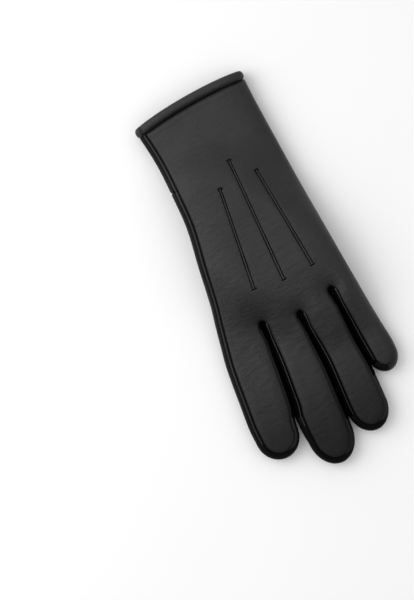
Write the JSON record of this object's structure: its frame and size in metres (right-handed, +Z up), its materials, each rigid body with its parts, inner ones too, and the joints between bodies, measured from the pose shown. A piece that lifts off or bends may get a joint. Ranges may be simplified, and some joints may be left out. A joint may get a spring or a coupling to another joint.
{
  "type": "lined leather glove",
  "caption": "Lined leather dress glove for the left hand, lying palm down with the thumb folded under: side gussets, finger forks, stitched points and a rolled cuff hem.",
  "frame": {"origin": "on the surface that the glove lies on, under the middle of its outline", "axes": "+Z up through the back of the hand, +Y to the cuff, +X to the little finger"},
  "size_m": [0.1104, 0.2619, 0.0303],
  "materials": {
    "leather": "soft black nappa, satin",
    "side_leather": "the same soft black leather, cut as side strips",
    "hem_leather": "the same soft black leather, rolled"
  },
  "bodies": {
    "root": {"back_panel": "leather", "palm_panel": "leather", "index_gusset": "side_leather", "fork_index_middle": "side_leather", "fork_middle_ring": "side_leather", "fork_ring_little": "side_leather", "thumb": "leather", "cuff_hem": "hem_leather", "point_index": "leather", "point_middle": "leather", "point_ring": "leather"}
  },
  "joints": []
}
